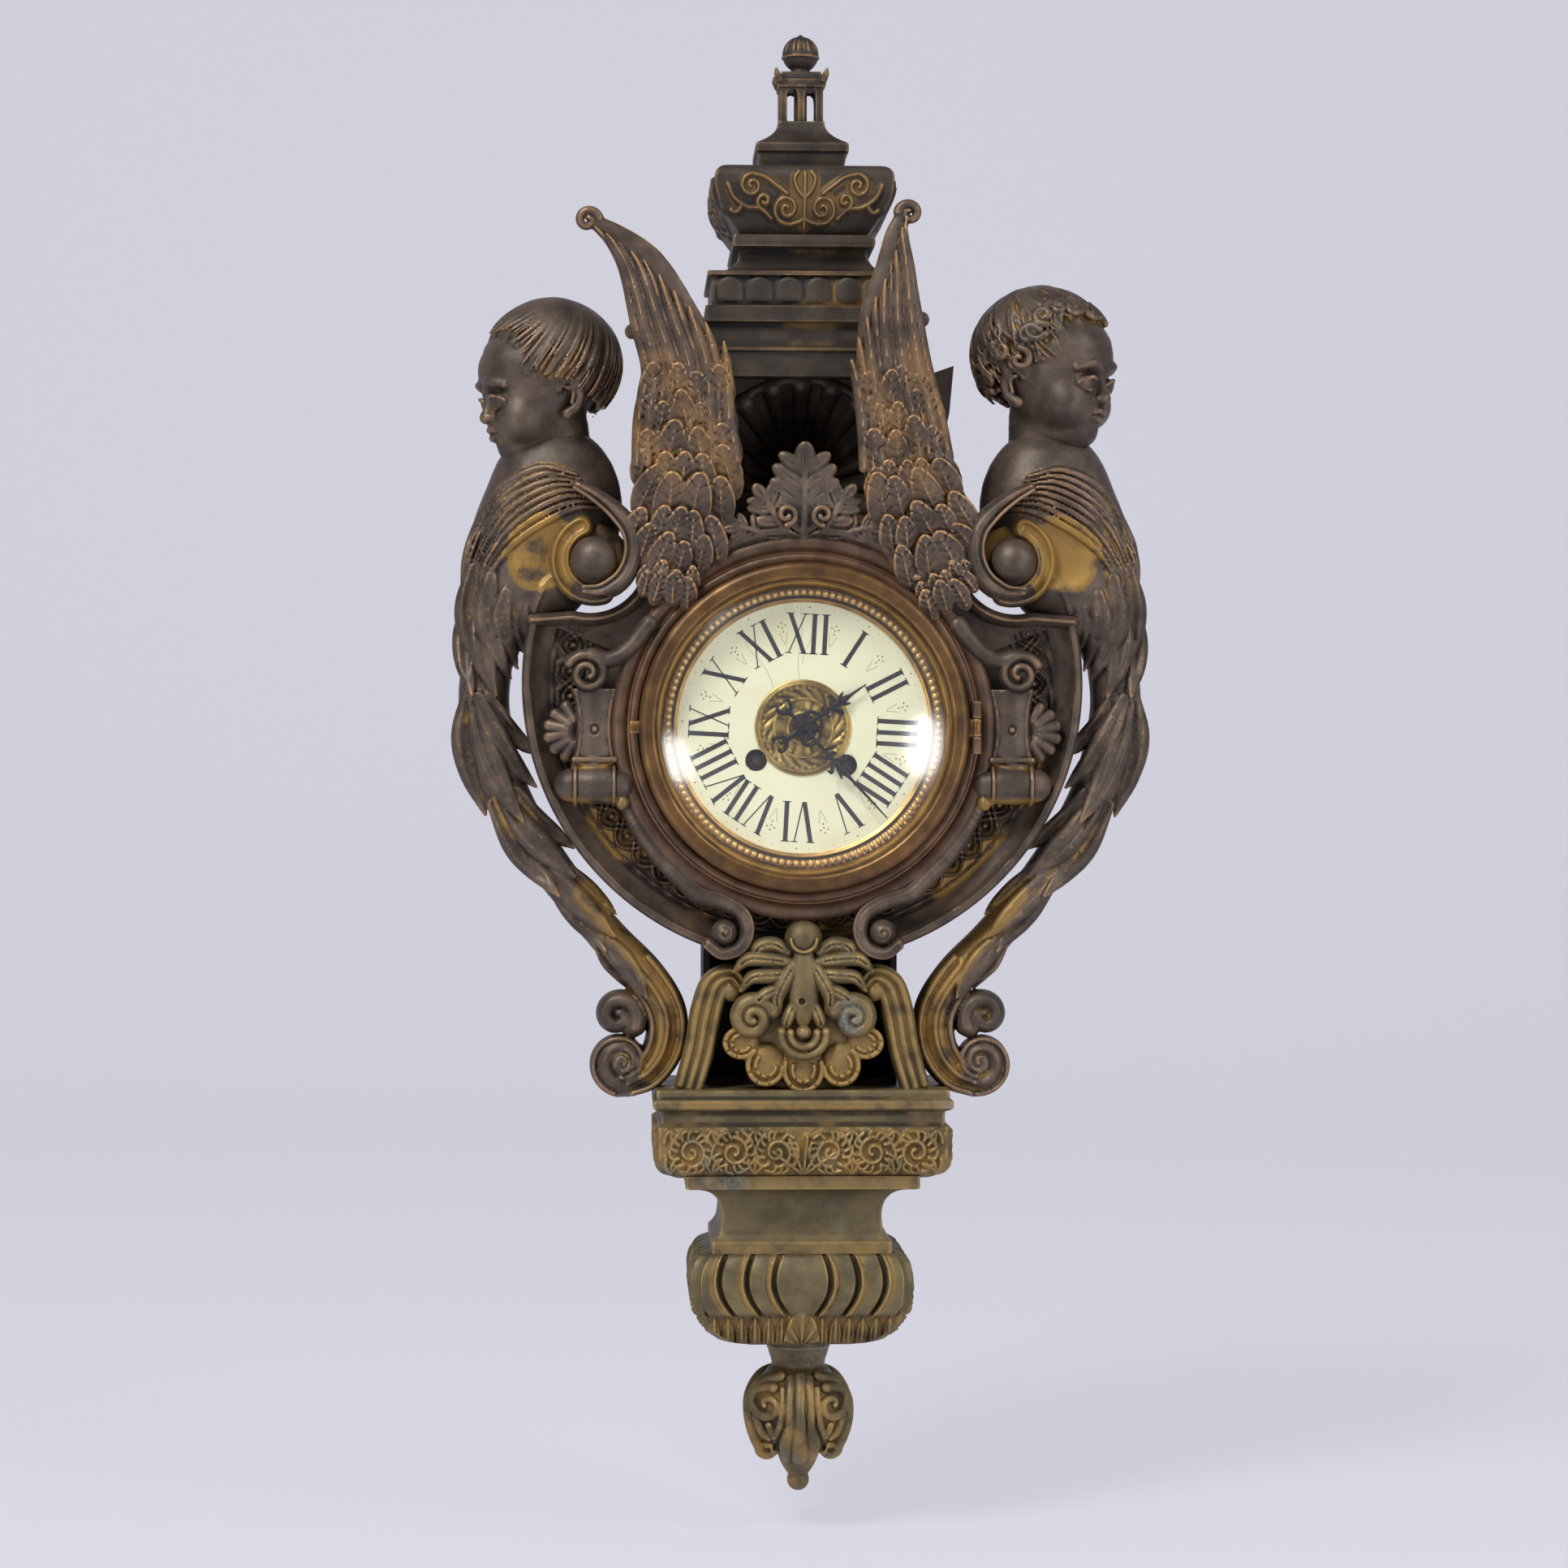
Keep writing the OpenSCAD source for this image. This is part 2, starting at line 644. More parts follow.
module anchor() {
    pallet_r = escape_r + pallet_gap;
    color(steel) at_movement() translate([anchor_at[0], 0, anchor_at[1]]) {
        bar([0, 0], arbor_r, crutch_y, motion_y);
        elevation(escape_wheel_y, wheel_t) difference() {
            intersection() {
                translate([0, escape_at[1] - anchor_at[1]]) difference() {
                    circle(pallet_r + 2.6);
                    circle(pallet_r);
                }
                polygon([[-9, -8], [0, 4], [9, -8]]);
            }
            circle(arbor_r);
        }
        elevation(escape_wheel_y - 0.8, pinion_t) difference() {
            circle(2.6);
            circle(arbor_r);
        }
        rotate([0, -dial_turn, 0]) elevation(crutch_y, 1.6) difference() {
            union() {
                circle(2.6);
                translate([-1, -22]) square([2, 22]);
            }
            circle(arbor_r);
        }
    }
}

// Pendulum on its cock, behind the rear plate. It hangs plumb, however the movement sits
pendulum_y = plate_back - 7;
stud_r = 0.9;
suspend_z = anchor_at[1];

module pendulum_cock() {
    half_w = 11;
    foot = 3;
    color(brass) at_movement() translate([0, 0, suspend_z]) {
        translate([-half_w, -plate_back, foot + 0.2])
            cube([2 * half_w, plate_back - pendulum_y + foot, foot]);
        for (x = [-half_w, half_w - foot])
            translate([x, -plate_back, -foot]) cube([foot, foot, 2 * foot + 1]);
        translate([-1, -pendulum_y, -2.4]) cube([2, 1, 2 * foot]);
        bar([0, 0], stud_r, pendulum_y - 4, pendulum_y + 1.6);
    }
}

module pendulum() {
    color(brass) at_movement() translate([0, 0, suspend_z]) rotate([0, -dial_turn, 0]) difference() {
        union() {
            elevation(pendulum_y - 3.2, 1.8) {
                circle(2.6);
                translate([-0.9, -pendulum_l]) square([1.8, pendulum_l]);
            }
            translate([0, 0, -pendulum_l]) turned(pendulum_y - 6)
                polygon([[0, 0], [bob_r - 3, 0.4], [bob_r, 3.6], [bob_r - 3, 6.8], [0, 7.2]]);
        }
        bar([0, 0], stud_r + run, pendulum_y - 6, pendulum_y + 1);
    }
}

// Movement plates with holes for every arbor
pillar_at = [polar(43, 55), polar(43, 125), [10, -42], [-10, -42]];
pillar_r = 2.6;
hammer_gap = 7;
hammer_at = [-bell_r - hammer_gap, 22];
bell_post_at = [40, -8];
cannon_teeth = 15;
minute_teeth = 45;
minute_at = [0, gear_r(minute_teeth, m_motion) + gear_r(cannon_teeth, m_motion)];

module plate(back) {
    difference() {
        bar([0, 0], plate_r, back, back + plate_t);
        for (p = [second_at, [0, 0], third_at, escape_at, anchor_at, hammer_at])
            bar(p, arbor_r + run, back - cut, back + plate_t + cut);
        for (p = [going_at, strike_at]) bar(p, 2 * arbor_r + run, back - cut, back + plate_t + cut);
        for (p = pillar_at) bar(p, pillar_r - 1, back - cut, back + plate_t + cut);
    }
}

module front_plate() {
    color(brass) at_movement() difference() {
        plate(front_plate_y);
        for (p = foot_at) bar(p, foot_r + run, front_plate_y - cut, motion_y + cut);
    }
}

module minute_post() bar(minute_at, arbor_r, motion_y, motion_y + 6.4);

module rear_plate() {
    color(brass) at_movement() plate(plate_back);
}

// Four pillars, each shouldered between the plates and riveted through them, with the minute wheel's post
module pillars() {
    color(brass) at_movement() {
        for (p = pillar_at) {
            bar(p, pillar_r, rear_plate_y, front_plate_y);
            bar(p, pillar_r - 1, plate_back, rear_plate_y);
            bar(p, pillar_r - 1, front_plate_y, motion_y);
        }
        minute_post();
    }
}

// Motion work between the front plate and the dial: 15 and 45, then 12 and 48, give twelve to one
minute_pinion = 12;
hour_teeth = 48;
cannon_phase = 0;
minute_phase = mesh_phase(minute_teeth, cannon_teeth, cannon_phase, 90);
minute_pinion_phase = 0;
hour_phase = mesh_phase(hour_teeth, minute_pinion, minute_pinion_phase, -90);
cannon_y = motion_y + 0.8;
hour_wheel_y = cannon_y + wheel_t + 1.4;
cannon_tube_r = 2;
hour_tube_r = 3.2;

module minute_wheel() {
    color(brass) at_movement() difference() {
        union() {
            wheel(minute_teeth, m_motion, minute_phase, minute_at, cannon_y, wheel_t, hub_r, arbor_r + run);
            translate([minute_at[0], 0, minute_at[1]]) elevation(cannon_y + wheel_t, wheel_t + 1.6)
                gear_outline(minute_pinion, m_motion, minute_pinion_phase);
        }
        bar(minute_at, arbor_r + run, motion_y, motion_y + 9);
    }
}

module hour_wheel() {
    color(brass) at_movement() difference() {
        union() {
            wheel(hour_teeth, m_motion, hour_phase, [0, 0],
                hour_wheel_y, wheel_t, hub_r + 1.2, cannon_tube_r + run);
            bar([0, 0], hour_tube_r, hour_wheel_y, hour_hand_y);
        }
        bar([0, 0], cannon_tube_r + run, hour_wheel_y - cut, hour_hand_y + cut);
    }
}

// A pierced hand: boss, tail, blade with a cross and a long point
module hand_outline(length, boss_r, blade, fleuron) {
    tail = 11;
    circle(boss_r);
    polygon([[-blade, 0], [-blade * 1.6, -tail], [0, -tail - 2], [blade * 1.6, -tail], [blade, 0]]);
    polygon(mirrored([[blade, 0], [blade * 0.7, fleuron], [0.35, length]]));
    translate([0, fleuron]) {
        polygon([[-blade * 3.4, -blade], [0, blade * 2.6], [blade * 3.4, -blade], [0, blade * 0.6]]);
        polygon([[-blade * 2, blade * 3.4], [0, blade * 2.2], [blade * 2, blade * 3.4], [0, blade * 5]]);
    }
}

module hour_hand() {
    color("#17161a") at_movement() rotate([0, hour_hand_a, 0]) difference() {
        union() {
            elevation(hour_hand_y, hand_t) hand_outline(hour_hand_l, 4.6, 1.5, 19);
            bar([0, 0], 4, hour_hand_y, hour_hand_y + hand_t + 0.4);
        }
        bar([0, 0], cannon_tube_r + run, hour_hand_y - cut, hour_hand_y + 2 * cut);
    }
}

module minute_hand() {
    color("#17161a") at_movement() rotate([0, minute_hand_a, 0]) difference() {
        union() {
            elevation(minute_hand_y, hand_t) hand_outline(minute_hand_l, 4.4, 1.2, 24);
            bar([0, 0], cannon_tube_r, cannon_y, minute_hand_y);
            elevation(cannon_y, wheel_t) gear_outline(cannon_teeth, m_motion, cannon_phase + minute_hand_a);
            bar([0, 0], 2.6, minute_hand_y, minute_hand_y + 2.2);
        }
        bar([0, 0], arbor_r + run, cannon_y - cut, minute_hand_y);
    }
}

// Bell behind the movement, on a post and an arm, and the hammer beside it
bell_at = [0, -8];
bell_front = pendulum_y - 7.6;
bell_depth = 12;
arm_y = hanger_t + back_plate_t + 0.6;

module bell() {
    arm_t = 2;
    wall = 1.6;
    lip_a = 10;
    steps = 8;
    function curve(r, lift, i) = let (a = lerp(90, lip_a, i / steps))
        [r * cos(a) / cos(lip_a), lift + bell_depth * (1 - sin(a))];
    color(brass) at_movement() {
        translate([bell_at[0], 0, bell_at[1]]) turned(arm_y + arm_t) polygon(concat(
            [for (i = [0:steps]) curve(bell_r, 0, i)],
            [for (i = [steps:-1:0]) curve(bell_r - wall, wall + 0.2, i)]));
        elevation(arm_y, arm_t) {
            translate(bell_at) circle(4);
            translate(bell_post_at) circle(4);
            translate([bell_at[0], bell_at[1] - 3]) square([bell_post_at[0] - bell_at[0], 6]);
        }
        bar(bell_at, 3, arm_y, arm_y + arm_t + 3);
        bar(bell_post_at, 2.2, arm_y, plate_back);
    }
}

module hammer() {
    head_y = bell_front - 4;
    head_r = 2.3;
    reach = 26;
    color(steel) at_movement() translate([hammer_at[0], 0, hammer_at[1]]) rotate([0, -dial_turn, 0]) {
        bar([0, 0], arbor_r, head_y + 1, motion_y);
        elevation(head_y + 1, 2) {
            circle(2.6);
            translate([-1, -reach]) square([2, reach]);
        }
        bar([0, -reach], head_r, head_y - 1, head_y + 6);
    }
}

// Fasteners: the back plate's and hanger's screws, each a separate solid
module case_screws() {
    color(steel) {
        at_dial() for (p = boss_at) {
            bar(p, screw_head_r, hanger_t - screw_head_t, hanger_t);
            bar(p, screw_r, hanger_t, hanger_t + screw_l);
        }
        for (s = [-1, 1]) {
            bar([s * hanger_screw_x, 0], screw_head_r - 0.5, 0.2, screw_head_t);
            bar([s * hanger_screw_x, 0], screw_r, screw_head_t, screw_l);
        }
    }
}

// Top of the case
module shell_niche() {
    ear = column_w + 20;
    top = column_z;
    depth = 66;
    bowl_z = 118;
    color(bronze) at_dial() difference() {
        elevation(0, depth) polygon(mirrored([[ear - 14, 60], [ear - 10, 110], [ear - 2, top - 15],
            [ear, top + 7], [column_w + seam, top]]));
        bar([0, 0], drum_r + seam, -cut, shield_front);
        shield_clearance(shield_back - seam);
        translate([0, -depth - cut, bowl_z]) rotate([-90, 0, 0]) cylinder(r1 = 46, r2 = 14, h = 50);
    }
}

// Column from its foot: block, band, fluted box, hollow neck and the fillet that carries the cap
band_z = column_z + 25;
box_z = column_z + 33;
hollow_z = cap_z - 19;
carry_z = cap_z - 6;
hollow_w = 36;
hollow_in = 6;
column_levels = concat(
    [[column_w, 80, column_z], [column_w, 80, band_z - ease], [46, 84, band_z], [46, 84, box_z - ease],
        [43, 82, box_z], [43, 82, hollow_z - ease], [hollow_w, 79, hollow_z]],
    [for (i = [0:6]) let (t = i / 6, in = hollow_in * sin(90 * t))
        [hollow_w - in, 82 - in, lerp(hollow_z + 2, carry_z, t)]],
    [[hollow_w - 3, 85, carry_z + ease], [hollow_w - 3, 85, cap_z]]);

module upper_column() {
    inner = hanger_screw_x - 3;
    inner_d = 70;
    color(bronze) difference() {
        at_dial() difference() {
            wall_block(column_levels);
            translate([-inner, -inner_d, column_z + 4]) cube([2 * inner, inner_d + cut, 26]);
            translate([0, -rod_y, column_z]) cylinder(r = rod_r - 0.5 + run, h = cap_z);
        }
        translate([-hanger_w, -hanger_t, -hanger_h / 2]) cube([2 * hanger_w, hanger_t + cut, hanger_h]);
        for (s = [-1, 1]) bar([s * hanger_screw_x, 0], screw_r, 0, screw_l + cut);
    }
}

module top_cap() {
    swell = 12;
    rise = 20;
    corner = 6;
    right = concat(
        [for (a = [-90:11.25:0]) [cap_w - swell + swell * cos(a), cap_z + rise + rise * sin(a)]],
        arc([cap_w - corner, cap_top - corner], corner, 0, 90, 5));
    color(bronze) at_dial() difference() {
        elevation(0, cap_d) polygon(mirrored(right));
        translate([0, -rod_y, cap_z - cut]) cylinder(r = rod_r - 0.5 + run, h = cap_h + 2 * cut);
    }
}

// Tray, concave roof and pierced gallery of four posts under the bud
module finial_stand() {
    tray_w = 22;
    roof_w = 11;
    roof_h = 12;
    post = 3.4;
    post_x = 8.4;
    posts_z = cap_top + tray_h + roof_h / 2;
    posts_h = stand_h - tray_h - 10;
    color(bronze) at_dial() translate([0, -rod_y, 0]) difference() {
        union() {
            for (k = [[0, 19], [tray_h - 8, 20.5], [tray_h - 4, tray_w]])
                translate([0, 0, cap_top + k[0]])
                    linear_extrude(tray_h - k[0]) square(2 * k[1], center = true);
            skin([for (i = [0:6])
                let (t = i / 6, w = lerp(tray_w, roof_w, sin(90 * t)), z = cap_top + tray_h + roof_h * t * t)
                [[-w, -w, z], [w, -w, z], [w, w, z], [-w, w, z]]]);
            for (x = [-1, 1], y = [-1, 1])
                translate([x * post_x - post / 2, y * post_x - post / 2, posts_z])
                    cube([post, post, posts_h]);
            translate([-3, -3, posts_z]) cube([6, 6, posts_h]);
            translate([-roof_w, -roof_w, cap_top + stand_h - 8]) cube([2 * roof_w, 2 * roof_w, 8]);
        }
        translate([0, 0, cap_top - cut]) cylinder(r = rod_r - 0.5 + run, h = stand_h + 2 * cut);
    }
}

module finial_bud() {
    base = cap_top + stand_h;
    color(bronze) at_dial() translate([0, -rod_y, base]) difference() {
        rotate_extrude() polygon(concat([[0, 0], [5, 0], [5.6, 2]],
            [for (i = [1:10]) let (a = -55 + 145 * i / 10) [bud_r * cos(a), 10.5 + bud_r * sin(a)]]));
        translate([0, 0, -cut]) cylinder(r = rod_r - 0.5, h = 8 + cut);
    }
}

// Threaded rods that hold the top and the base together, with their nuts
module tie_rods() {
    top_r = rod_r - 0.5;
    top_start = column_z + 14;
    low_end = pendant_top - 12;
    color(steel) at_dial() translate([0, -rod_y, 0]) {
        translate([0, 0, top_start]) cylinder(r = top_r, h = cap_top + stand_h + 8 - top_start);
        translate([0, 0, column_z + 24]) difference() {
            cylinder(r = 6, h = 6, $fn = 6);
            translate([0, 0, -cut]) cylinder(r = top_r, h = 6 + 2 * cut);
        }
        translate([0, 0, low_end]) cylinder(r = rod_r, h = plinth_z + 10 - low_end);
        translate([0, 0, plinth_z + 3]) difference() {
            cylinder(r = 7, h = 5, $fn = 6);
            translate([0, 0, -cut]) cylinder(r = rod_r, h = 5 + 2 * cut);
        }
    }
}

// Crest of three leaves over the dial frame
module crest_palmette() {
    y = -frame_front + 2;
    foot = frame_r - 6;
    color(bronze) at_dial() casting() difference() {
        union() {
            limb([for (a = [64:4:116]) [(frame_r + 4) * cos(a), y + 3, (frame_r + 4) * sin(a), 4, 4]], 8, 1);
            limb([[0, y, foot, 9, 6], [0, y, foot + 16, 6, 5], [0, y, foot + 34, 13, 5],
                [0, y, foot + 46, 11, 5], [0, y, foot + 51, 3, 3]]);
            for (s = [-1, 1]) {
                limb([[s * 8, y + 2, foot, 8, 6], [s * 13, y + 2, foot + 14, 6, 5],
                    [s * 17, y + 1, foot + 24, 6, 4], [s * 20, y, foot + 31, 2.5, 2]]);
                limb([[s * 14, y + 3, foot, 6, 5], [s * 24, y + 3, foot + 6, 5, 5],
                    [s * 31, y + 2, foot + 10, 2.5, 2]]);
            }
        }
        bar([0, 0], frame_r + seam, 0, frame_front + 3);
        for (line = [left_wing_line, right_wing_line]) limb([for (s = line) s + [0, 0, 0, 1, 1]], 14, 3);
    }
}

// Strapwork pilaster beside the dial frame: scroll above, waisted strap, rolled end below
module pilaster(side) {
    mid = side * (frame_r + 9);
    half_w = 13;
    strap_t = 16;
    roll_r = 9;
    roll_z = -27;
    scroll_z = 26;
    back = dish_y;
    difference() {
        union() {
            elevation(back, strap_t) difference() {
                translate([mid - half_w, roll_z]) square([2 * half_w, scroll_z - roll_z]);
                translate([mid + side * 29, 0]) circle(20);
            }
            translate([mid - half_w, -back - 12, roll_z])
                rotate([0, 90, 0]) cylinder(r = roll_r, h = 2 * half_w);
            bar([mid + side * 6, scroll_z], roll_r, back, back + strap_t + 5);
        }
        bar([0, 0], frame_r + seam, 0, frame_front + 20);
    }
}

module left_pilaster() color(bronze) at_dial() pilaster(-1);
module right_pilaster() color(bronze) at_dial() pilaster(1);

// Cherub head, looking outwards: level rings with brow, nose, cheeks and chin
module head(side) {
    // Fractions of the head's height, then middle, half length, half width and push of the face
    levels = smooth([[0.00, 0, 16, 15, 0], [0.08, 3, 20, 18, 0], [0.17, 5, 28, 22, 2], [0.30, 3, 31, 26, 3],
        [0.40, 2, 32.5, 28, 4.5], [0.50, 1, 33, 29, 0], [0.62, 0, 35, 30.5, 1.5], [0.76, -1, 34, 30, 0],
        [0.88, -1.5, 28, 25, 0], [0.96, -1.5, 17, 16, 0], [1.00, -1.5, 6, 6, 0]], 2);
    sides = 20;
    rings = [for (s = levels) [for (j = [0:sides - 1]) let (u = 360 * j / sides,
            front = pow(max(cos(u), 0), 10), along = s[1] + s[2] * cos(u) + s[4] * front)
        [along, s[3] * sin(u), s[0] * head_h]]];
    translate([side * head_x, -figure_y, neck_z]) mirror([side < 0 ? 1 : 0, 0, 0]) skin(rings);
}

module left_head() color(bronze) at_dial() head(-1);
module right_head() color(bronze) at_dial() head(1);

// Shoulders that run down into the foliage of the tail
tail_top = 34;
tail_lean = 28;
module bust(side) {
    x = side * head_x;
    y = -figure_y;
    difference() {
        stack(smooth([[x + side * tail_lean, y, tail_top, 17, 17], [x + side * 24, y, 50, 25, 23],
            [x + side * 12, y, 68, 35, 28], [x + side * 4, y, 86, 38, 30], [x, y, 102, 37, 29],
            [x - side, y, 116, 31, 24], [x, y, 126, 20, 18], [x, y, neck_z, 16, 15]], 2), 20);
        shield_clearance(0);
        bar([side * volute_x, volute_z], volute_r + seam, figure_y + 10, 200);
    }
}

module left_bust() color(bronze) at_dial() bust(-1);
module right_bust() color(bronze) at_dial() bust(1);

// Scroll under each wing, with its round eye
module volute(side) {
    back = figure_y + 18;
    c = [volute_x, volute_z];
    mirror([side < 0 ? 1 : 0, 0, 0]) casting() {
        bar(c, volute_r, back, back + 7);
        limb(spiral(c, -back - 12, volute_r - 3.4, eye_r + 1, 160, -230, [3.4, 2.4], 10, 26), 8, 1);
        translate([c[0], -back - 12, c[1]]) sphere(r = eye_r, $fn = 24);
    }
}

module left_volute() color(bronze) at_dial() volute(-1);
module right_volute() color(bronze) at_dial() volute(1);

// Wings: [x, distance from the wall, z, half breadth, half thickness] from the shoulder to the curled tip
left_wing_line = [[-63, -90, 70, 15, 7], [-59, -91, 92, 24, 8], [-55, -92, 114, 26, 8],
    [-56, -93, 140, 24.5, 7.5], [-56, -95, 166, 20.5, 6.5], [-65, -97, 190, 17, 5.5],
    [-75, -99, 212, 12.5, 4.5], [-87, -100, 226, 7, 3.5], [-98, -100, 234, 3.5, 3]];
right_wing_line = [[65, -90, 70, 15, 7], [57, -91, 92, 26, 8], [49, -92, 114, 23, 8],
    [45, -93, 140, 21, 7.5], [40.5, -96, 166, 18.5, 6.5], [39, -99, 190, 15.5, 5.5],
    [41, -101, 212, 10, 4.5], [42, -102, 228, 6, 3.5], [45, -102, 238, 3.5, 3]];
wing_tip_r = 5;

module wing(line, side) {
    tip = line[len(line) - 1];
    difference() {
        casting() {
            limb(line, 14, 3);
            translate([tip[0] + side * 3, tip[1], tip[2] + 2]) sphere(r = wing_tip_r, $fn = 20);
        }
        bar([0, 0], frame_r + seam, 0, frame_front + 1);
        bar([side * volute_x, volute_z], volute_r + seam, 0, 200);
    }
}

module left_wing() color(bronze) at_dial() wing(left_wing_line, -1);
module right_wing() color(bronze) at_dial() wing(right_wing_line, 1);

// What castings that stand on the plinth leave free for it
module plinth_clearance() {
    translate([-plinth_w - seam, -200, neck_top]) cube([2 * (plinth_w + seam), 200, plinth_z - neck_top]);
}

// Acanthus tail that follows the shield down to a scrolled foot on the plinth
module tail(side) {
    y = -figure_y;
    line = [[head_x + tail_lean, y, tail_top, 17, 17], [150, y, 14, 15, 18], [147, y, -8, 15, 18],
        [139, y, -32, 14, 17], [125, y, -56, 12.5, 16], [107, y, -80, 11, 15], [91, y, -100, 10.5, 15],
        [74, y, -118, 10, 15], [63, y, -136, 9.5, 15], [63, y, -153, 9, 15], [74, y, -166, 8.5, 15],
        [90, y, -166, 8, 15], [96, y, -155, 6, 14], [89, y, -147, 4.5, 13]];
    leaves = [[[152, y - 4, 44, 9, 16], [161, y - 2, 28, 6, 12], [164, y, 12, 2, 5]],
        [[150, y - 4, 4, 9, 16], [154, y - 2, -16, 7, 12], [152, y, -36, 2, 5]],
        [[134, y - 4, -40, 8, 15], [132, y - 2, -55, 6, 11], [124, y, -68, 2, 5]]];
    difference() {
        mirror([side < 0 ? 1 : 0, 0, 0]) casting() {
            limb(line, 10, 3);
            for (leaf = leaves) limb(leaf, 8, 3);
            limb(spiral([88, -136], y, 10, 4, -60, 250, [4, 3], 12, 16), 8, 1);
        }
        plinth_clearance();
        translate([-200, -200, tail_top]) cube([400, 200, 100]);
        shield_clearance(shield_back - seam);
    }
}

module left_tail() color(bronze) at_dial() tail(-1);
module right_tail() color(bronze) at_dial() tail(1);

// Bracket scroll that rises from the plinth and turns over towards the mask
module bracket(side) {
    y = -76;
    half_d = 9;
    rise = shield_rise - shield_r - plinth_z;
    line = [[53, 0, 6], [48, 0.33, 6.5], [45, 0.6, 7], [41, 0.83, 7], [34, 0.9, 6], [29, 0.81, 4.5]];
    limb([for (s = line) [side * s[0], y, plinth_z + rise * s[1], s[2], half_d]], 10, 3);
}

module bracket_cut(side) {
    difference() {
        bracket(side);
        plinth_clearance();
        shield_clearance(0);
    }
}

module left_bracket() color(gilt) at_dial() bracket_cut(-1);
module right_bracket() color(gilt) at_dial() bracket_cut(1);

// Leaf, scrolls and shell under the dial frame, standing on the plinth
module mask_shell() {
    back = shield_front + seam;
    y = -back - 4;
    shell_z = -128;
    color(gilt) at_dial() casting() difference() {
        union() {
            for (a = [-60:30:60])
                limb([for (k = [[6, 4, 6], [20, 8, 8], [34, 9, 8], [41, 4, 5]])
                    [k[0] * sin(a), y, shell_z - k[0] * cos(a), k[1], k[2]]], 10, 2);
            for (s = [-1, 1]) mirror([s < 0 ? 1 : 0, 0, 0]) {
                limb(spiral([24, -137], y - 3, 9, 3, 150, -260, [4, 3], 9, 20), 8, 1);
                limb([[4, y, -104, 7, 7], [16, y, -106, 8, 7],
                    [26, y, -114, 6, 6], [30, y, -124, 3, 4]], 10, 2);
            }
            limb([[0, y, -96, 8, 6], [0, y, -112, 11, 8], [0, y, -130, 10, 9], [0, y, -146, 6, 8]], 10, 2);
        }
        translate([-100, -back, -200]) cube([200, 100, 200]);
        plinth_clearance();
        bar([0, 0], frame_r + seam, 0, frame_front + 20);
    }
}

// Open-fronted box between the drum and the plinth
module apron_box() {
    w = 46;
    d = 58;
    wall = 3;
    color("#1d1a18") at_dial() difference() {
        translate([-w, -d, plinth_z]) cube([2 * w, d, -plinth_z - 60]);
        translate([-w + wall, -d - cut, plinth_z + wall]) cube([2 * w - 2 * wall, d + cut - wall, -plinth_z]);
        bar([0, 0], drum_r + seam, -cut, 100);
        translate([0, -rod_y, plinth_z - cut]) cylinder(r = rod_r + run, h = wall + 2 * cut);
    }
}

// Base: plinth with its frieze, hollow neck, gadrooned block and pendant
module rod_hole(z, h) translate([0, -rod_y, z - cut]) cylinder(r = rod_r + run, h = h + 2 * cut);

frieze_w = plinth_w - 2.4;
module plinth() {
    slab_h = 13;
    color(gilt) at_dial() difference() {
        wall_block(concat(
            [for (i = [0:6]) let (a = 90 * i / 6)
                [frieze_w - 10 + 8 * sin(a), plinth_d - 10 + 7 * sin(a), neck_top + 10 * (1 - cos(a))]],
            [[frieze_w, plinth_d - 2, plinth_z - slab_h - ease], [plinth_w, plinth_d, plinth_z - slab_h],
                [plinth_w, plinth_d, plinth_z]]));
        rod_hole(neck_top, plinth_h);
    }
}

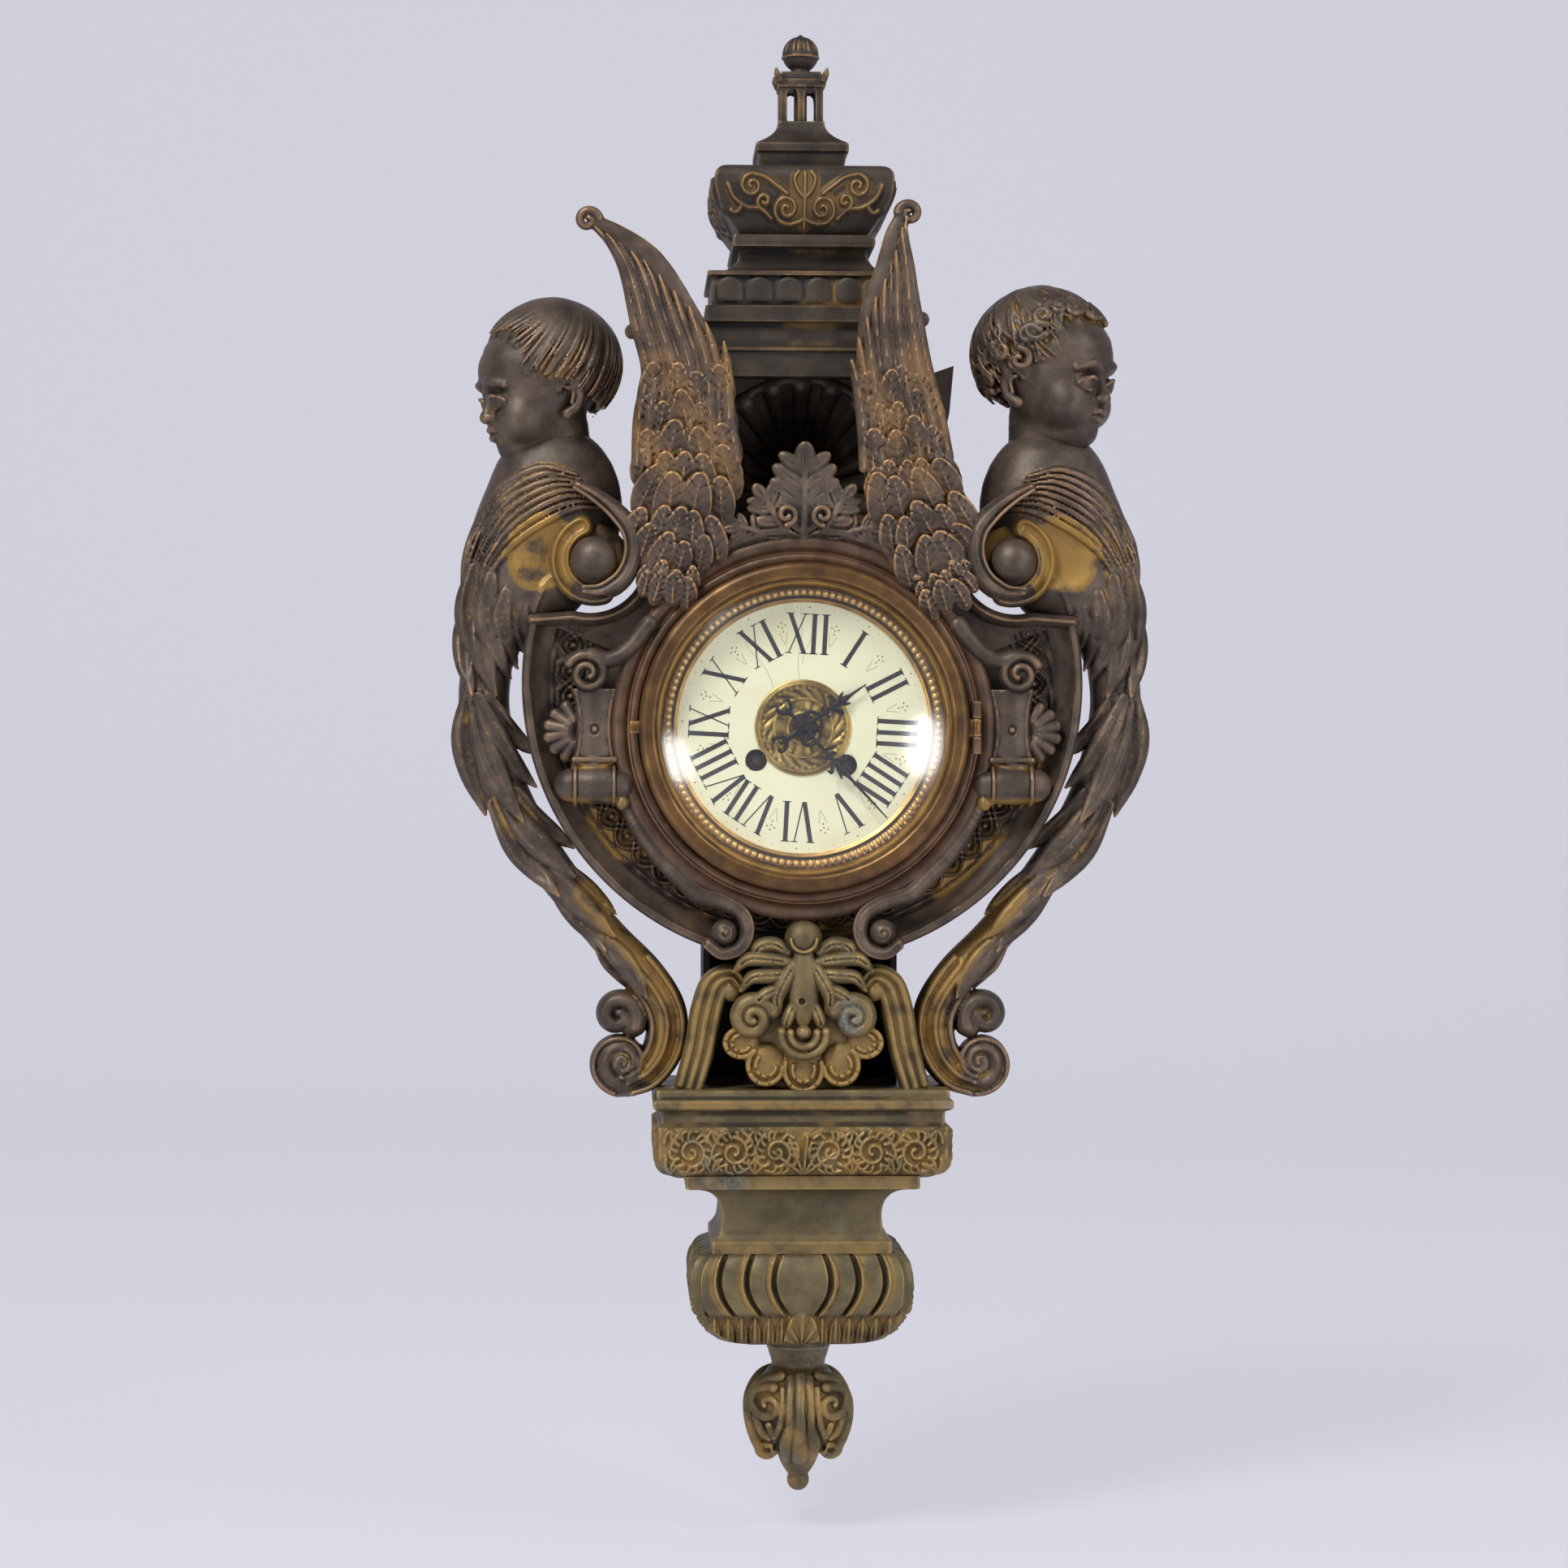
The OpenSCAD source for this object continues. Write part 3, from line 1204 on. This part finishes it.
module neck() {
    lip = 16;
    low_lip = 3;
    fillet = 5.5;
    waist_d = 79;
    waist_at = 0.35;
    function out(t) = t < waist_at ? low_lip * pow(1 - t / waist_at, 2)
        : (lip - 1) * pow((t - waist_at) / (1 - waist_at), 2.2);
    color(gilt) at_dial() difference() {
        wall_block(concat(
            [for (z = [gadroon_top, gadroon_top + fillet - ease]) [waist_w + 4.5, waist_d + 5, z]],
            [for (i = [0:10]) let (t = i / 10)
                [waist_w + out(t), waist_d + out(t) * 0.8, lerp(gadroon_top + fillet, neck_top - fillet, t)]],
            [for (z = [neck_top - fillet + ease, neck_top]) [waist_w + lip, waist_d + 13, z]]));
        rod_hole(gadroon_top, neck_h);
    }
}

module gadroon_block() {
    swell_w = 34;
    swell_d = 26;
    color(gilt) at_dial() difference() {
        wall_block([for (i = [0:12]) let (t = i / 12, slack = 1 - pow(sin(20 + 138 * t), 0.8))
            [gadroon_w - swell_w * slack, gadroon_d - swell_d * slack, pendant_top + gadroon_h * t]]);
        rod_hole(pendant_top, gadroon_h);
    }
}

module pendant() {
    tip_r = 5.5;
    stem = 13;
    ball = pendant_top - stem - pendant_r * 0.84;
    tip = ball - pendant_r - 7;
    profile = concat(
        [[0, tip - tip_r]], arc([0, tip], tip_r, -80, 40, 8),
        [[6, ball - pendant_r + 0.5]], arc([0, ball], pendant_r, -70, 58, 18),
        [[stem + 2, pendant_top - stem + 1], [stem + 2, pendant_top - stem + 4], [stem, pendant_top - 7],
            [stem + 1.5, pendant_top], [0, pendant_top]]);
    color(gilt) at_dial() translate([0, -rod_y, 0]) difference() {
        rotate_extrude() polygon(profile);
        translate([0, 0, pendant_top - 12]) cylinder(r = rod_r, h = 12 + cut);
    }
}

hanger();
back_plate();
drum();
shield();
dial_frame();
left_pilaster();
right_pilaster();
crest_palmette();
shell_niche();
upper_column();
top_cap();
finial_stand();
finial_bud();
left_head();
right_head();
left_bust();
right_bust();
left_wing();
right_wing();
left_volute();
right_volute();
left_tail();
right_tail();
left_bracket();
right_bracket();
mask_shell();
apron_box();
plinth();
neck();
gadroon_block();
pendant();
tie_rods();
case_screws();
rear_door();
hinge_pins();
bezel();
dial_glass();
sight_ring();
dial_plate();
dial_centre();
hour_hand();
hour_wheel();
minute_hand();
minute_wheel();
front_plate();
rear_plate();
pillars();
going_barrel();
going_arbor();
strike_barrel();
strike_arbor();
second_wheel();
centre_wheel();
third_wheel();
escape_wheel();
anchor();
pendulum_cock();
pendulum();
bell();
hammer();
